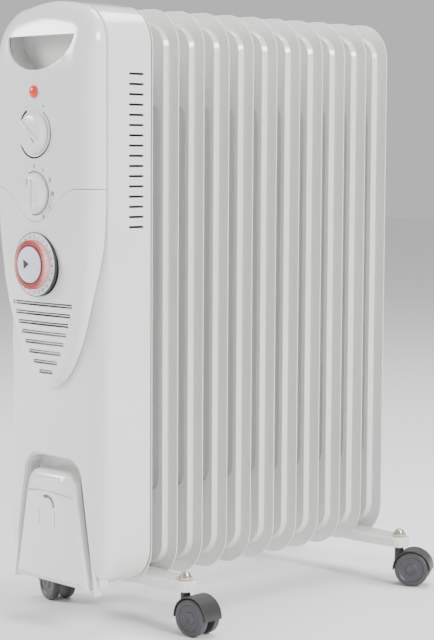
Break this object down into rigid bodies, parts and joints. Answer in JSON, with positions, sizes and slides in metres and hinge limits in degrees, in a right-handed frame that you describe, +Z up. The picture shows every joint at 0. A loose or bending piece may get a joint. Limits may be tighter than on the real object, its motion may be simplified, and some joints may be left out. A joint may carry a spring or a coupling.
{
  "type": "oil filled radiator heater",
  "caption": "Free-standing oil filled radiator heater: a row of hollow fins, control housing with knobs, timer and cord storage, on swivel castors.",
  "frame": {"origin": "on the floor, under the middle of the heater", "axes": "+Z up, the control housing faces -Y, the row of fins runs along Y, X runs across the heater"},
  "size_m": [0.3073, 0.4723, 0.626],
  "materials": {
    "fin_enamel": "gloss",
    "case_enamel": "gloss",
    "cover_plastic": "gloss",
    "zinc": "satin",
    "nut_nickel": "satin",
    "castor_black": "satin",
    "castor_grey": "satin",
    "lamp_red": "gloss",
    "dial_white": "gloss",
    "hub_blue": "satin",
    "inner_black": "satin"
  },
  "bodies": {
    "heater": {"fin_01": "fin_enamel", "fin_02": "fin_enamel", "fin_03": "fin_enamel", "fin_04": "fin_enamel", "fin_05": "fin_enamel", "fin_06": "fin_enamel", "fin_07": "fin_enamel", "fin_08": "fin_enamel", "fin_09": "fin_enamel", "fin_10": "fin_enamel", "fin_11": "fin_enamel", "heating_element": "zinc", "element_flange": "zinc", "casing": "case_enamel", "upper_cover": "cover_plastic", "lower_cover": "cover_plastic", "handle_pocket": "cover_plastic", "rear_plate": "zinc", "cord_winder": "cover_plastic", "cord_recess": "case_enamel", "cord_gland": "inner_black", "indicator_lens": "lamp_red", "timer_hub": "hub_blue", "thermostat": "inner_black", "selector_switch": "inner_black", "timer_module": "inner_black", "terminal_block": "inner_black", "fan_motor": "inner_black", "foot_plate_front": "case_enamel", "foot_plate_rear": "case_enamel", "u_bolt_front": "zinc", "u_bolt_rear": "zinc", "castor_front_right_stem": "zinc", "castor_front_right_nut": "nut_nickel", "castor_front_left_stem": "zinc", "castor_front_left_nut": "nut_nickel", "castor_rear_right_stem": "zinc", "castor_rear_right_nut": "nut_nickel", "castor_rear_left_stem": "zinc", "castor_rear_left_nut": "nut_nickel"},
    "thermostat_knob": {"thermostat_knob": "cover_plastic"},
    "selector_knob": {"selector_knob": "cover_plastic"},
    "timer_dial": {"timer_dial": "dial_white"},
    "fan_impeller": {"fan_impeller": "inner_black"},
    "castor_front_right": {"castor_front_right_hood": "castor_black", "castor_front_right_axle": "zinc"},
    "castor_front_right_wheel_near": {"castor_front_right_wheel_near": "castor_grey"},
    "castor_front_right_wheel_far": {"castor_front_right_wheel_far": "castor_grey"},
    "castor_front_left": {"castor_front_left_hood": "castor_black", "castor_front_left_axle": "zinc"},
    "castor_front_left_wheel_near": {"castor_front_left_wheel_near": "castor_grey"},
    "castor_front_left_wheel_far": {"castor_front_left_wheel_far": "castor_grey"},
    "castor_rear_right": {"castor_rear_right_hood": "castor_black", "castor_rear_right_axle": "zinc"},
    "castor_rear_right_wheel_near": {"castor_rear_right_wheel_near": "castor_grey"},
    "castor_rear_right_wheel_far": {"castor_rear_right_wheel_far": "castor_grey"},
    "castor_rear_left": {"castor_rear_left_hood": "castor_black", "castor_rear_left_axle": "zinc"},
    "castor_rear_left_wheel_near": {"castor_rear_left_wheel_near": "castor_grey"},
    "castor_rear_left_wheel_far": {"castor_rear_left_wheel_far": "castor_grey"}
  },
  "joints": [
    {"name": "thermostat_knob_turn", "type": "hinge", "parent": "heater", "child": "thermostat_knob", "pos_m": [0, -0.2265, 0.497], "axis": [0, 1, 0], "range_deg": [-200, 100]},
    {"name": "selector_knob_turn", "type": "hinge", "parent": "heater", "child": "selector_knob", "pos_m": [0, -0.2265, 0.438], "axis": [0, 1, 0], "range_deg": [0, 150]},
    {"name": "timer_dial_turn", "type": "hinge", "parent": "heater", "child": "timer_dial", "pos_m": [0, -0.22335, 0.368], "axis": [0, 1, 0], "continuous": true},
    {"name": "fan_spin", "type": "hinge", "parent": "heater", "child": "fan_impeller", "pos_m": [0, -0.183, 0.292], "axis": [0, 1, 0], "continuous": true},
    {"name": "castor_front_right_swivel", "type": "hinge", "parent": "heater", "child": "castor_front_right", "pos_m": [0.106, -0.12036, 0.035], "axis": [0, 0, 1], "continuous": true},
    {"name": "castor_front_right_wheel_near_roll", "type": "hinge", "parent": "castor_front_right", "child": "castor_front_right_wheel_near", "pos_m": [0.12194, -0.11897, 0.019], "axis": [-0.0872, 0.9962, 0], "continuous": true},
    {"name": "castor_front_right_wheel_far_roll", "type": "hinge", "parent": "castor_front_right", "child": "castor_front_right_wheel_far", "pos_m": [0.12194, -0.11897, 0.019], "axis": [-0.0872, 0.9962, 0], "continuous": true},
    {"name": "castor_front_left_swivel", "type": "hinge", "parent": "heater", "child": "castor_front_left", "pos_m": [-0.106, -0.12036, 0.035], "axis": [0, 0, 1], "continuous": true},
    {"name": "castor_front_left_wheel_near_roll", "type": "hinge", "parent": "castor_front_left", "child": "castor_front_left_wheel_near", "pos_m": [-0.09041, -0.12396, 0.019], "axis": [0.225, 0.9744, 0], "continuous": true},
    {"name": "castor_front_left_wheel_far_roll", "type": "hinge", "parent": "castor_front_left", "child": "castor_front_left_wheel_far", "pos_m": [-0.09041, -0.12396, 0.019], "axis": [0.225, 0.9744, 0], "continuous": true},
    {"name": "castor_rear_right_swivel", "type": "hinge", "parent": "heater", "child": "castor_rear_right", "pos_m": [0.1175, 0.19706, 0.035], "axis": [0, 0, 1], "continuous": true},
    {"name": "castor_rear_right_wheel_near_roll", "type": "hinge", "parent": "castor_rear_right", "child": "castor_rear_right_wheel_near", "pos_m": [0.13136, 0.20506, 0.019], "axis": [-0.5, 0.866, 0], "continuous": true},
    {"name": "castor_rear_right_wheel_far_roll", "type": "hinge", "parent": "castor_rear_right", "child": "castor_rear_right_wheel_far", "pos_m": [0.13136, 0.20506, 0.019], "axis": [-0.5, 0.866, 0], "continuous": true},
    {"name": "castor_rear_left_swivel", "type": "hinge", "parent": "heater", "child": "castor_rear_left", "pos_m": [-0.1175, 0.19706, 0.035], "axis": [0, 0, 1], "continuous": true},
    {"name": "castor_rear_left_wheel_near_roll", "type": "hinge", "parent": "castor_rear_left", "child": "castor_rear_left_wheel_near", "pos_m": [-0.12779, 0.20932, 0.019], "axis": [-0.766, -0.6428, 0], "continuous": true},
    {"name": "castor_rear_left_wheel_far_roll", "type": "hinge", "parent": "castor_rear_left", "child": "castor_rear_left_wheel_far", "pos_m": [-0.12779, 0.20932, 0.019], "axis": [-0.766, -0.6428, 0], "continuous": true}
  ]
}
